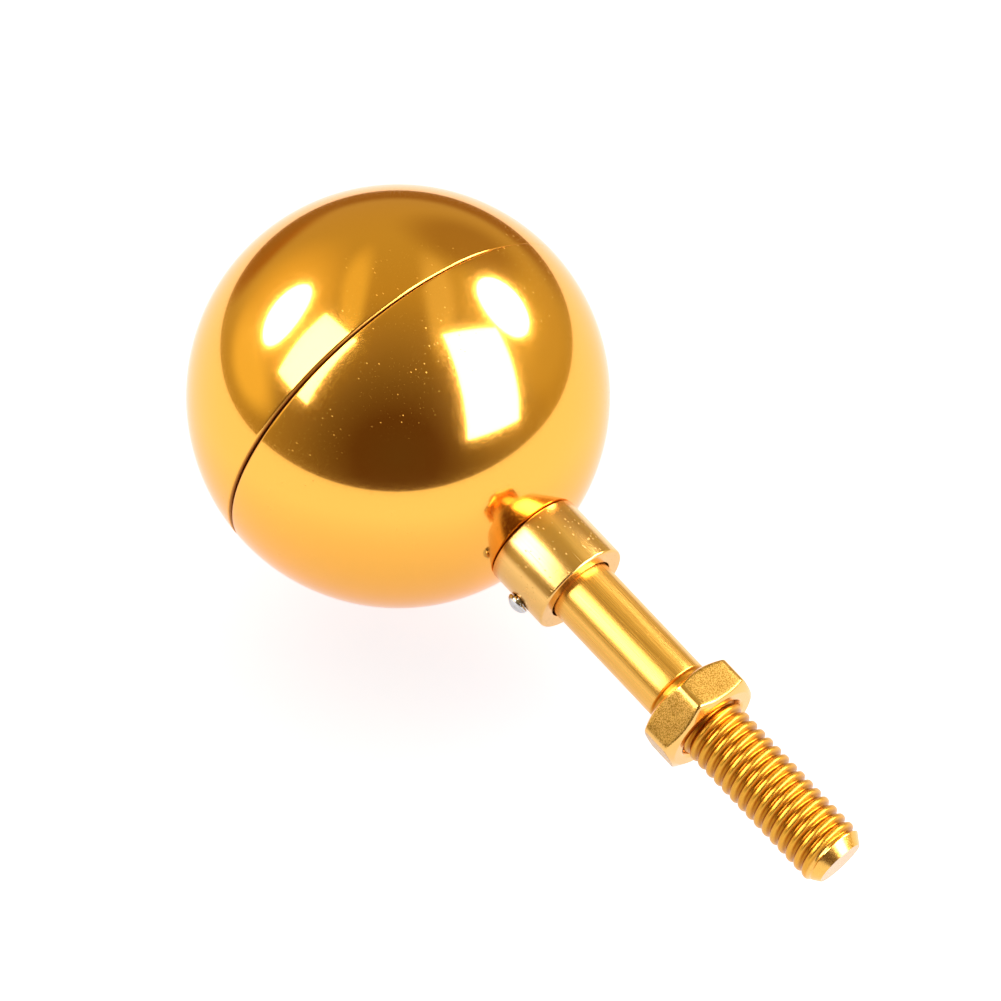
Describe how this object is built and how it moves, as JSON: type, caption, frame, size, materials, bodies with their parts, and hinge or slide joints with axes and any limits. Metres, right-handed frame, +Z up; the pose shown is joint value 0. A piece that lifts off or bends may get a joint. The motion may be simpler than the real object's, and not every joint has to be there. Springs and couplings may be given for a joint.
{
  "type": "flagpole finial",
  "caption": "Gold ball finial for a flagpole: seamed ball, collar with a domed set screw, round spindle with a hex lock nut and a threaded end.",
  "frame": {"origin": "centre of the bounding box in plan, on the floor that the finial lies on", "axes": "+X from the ball towards the threaded end, level; +Y across, to the left seen from the ball; +Z up"},
  "size_m": [0.1543, 0.0762, 0.0758],
  "materials": {
    "polished_gold_anodising": "mirror-polished, gold anodised",
    "satin_gold_anodising": "turned bright, gold anodised, fine lengthwise scratches",
    "grained_gold_anodising": "finely grained, gold anodised",
    "bright_steel": "bright plated"
  },
  "bodies": {
    "root": {"upper_half_ball": "polished_gold_anodising", "lower_half_ball": "polished_gold_anodising", "collar": "satin_gold_anodising", "spindle": "satin_gold_anodising", "hex_nut": "grained_gold_anodising", "set_screw": "bright_steel"}
  },
  "joints": []
}
